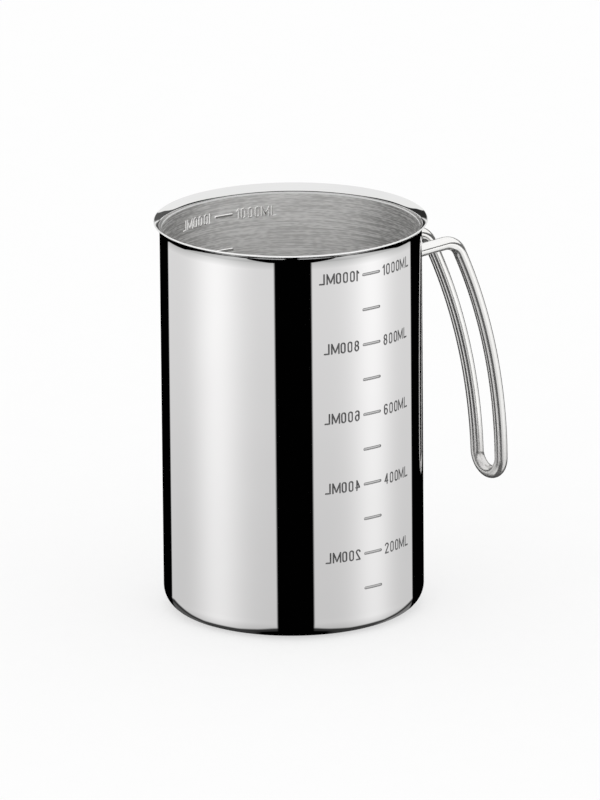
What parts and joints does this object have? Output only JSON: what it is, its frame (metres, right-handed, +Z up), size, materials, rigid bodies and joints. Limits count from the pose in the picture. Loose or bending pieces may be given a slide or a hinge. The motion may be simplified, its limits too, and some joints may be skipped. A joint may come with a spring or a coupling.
{
  "type": "measuring jug",
  "caption": "Straight round steel measuring jug with a flared pouring rim, pressed-in volume scales and a long bent wire handle; holds and measures liquids.",
  "frame": {"origin": "on the jug's axis, at the centre of the flat ring that it stands on", "axes": "+Z up along the jug's axis, +X towards the handle, the front scale faces -Y"},
  "size_m": [0.1483, 0.1026, 0.1502],
  "materials": {
    "polished_sheet": "mirror polished outside, fine brushed lines round the inside",
    "polished_wire": "polished drawn wire",
    "weld_bead": "cleaned weld, slightly duller"
  },
  "bodies": {
    "root": {"jug_body": "polished_sheet", "wire_handle": "polished_wire", "weld_front": "weld_bead", "weld_rear": "weld_bead"}
  },
  "joints": []
}
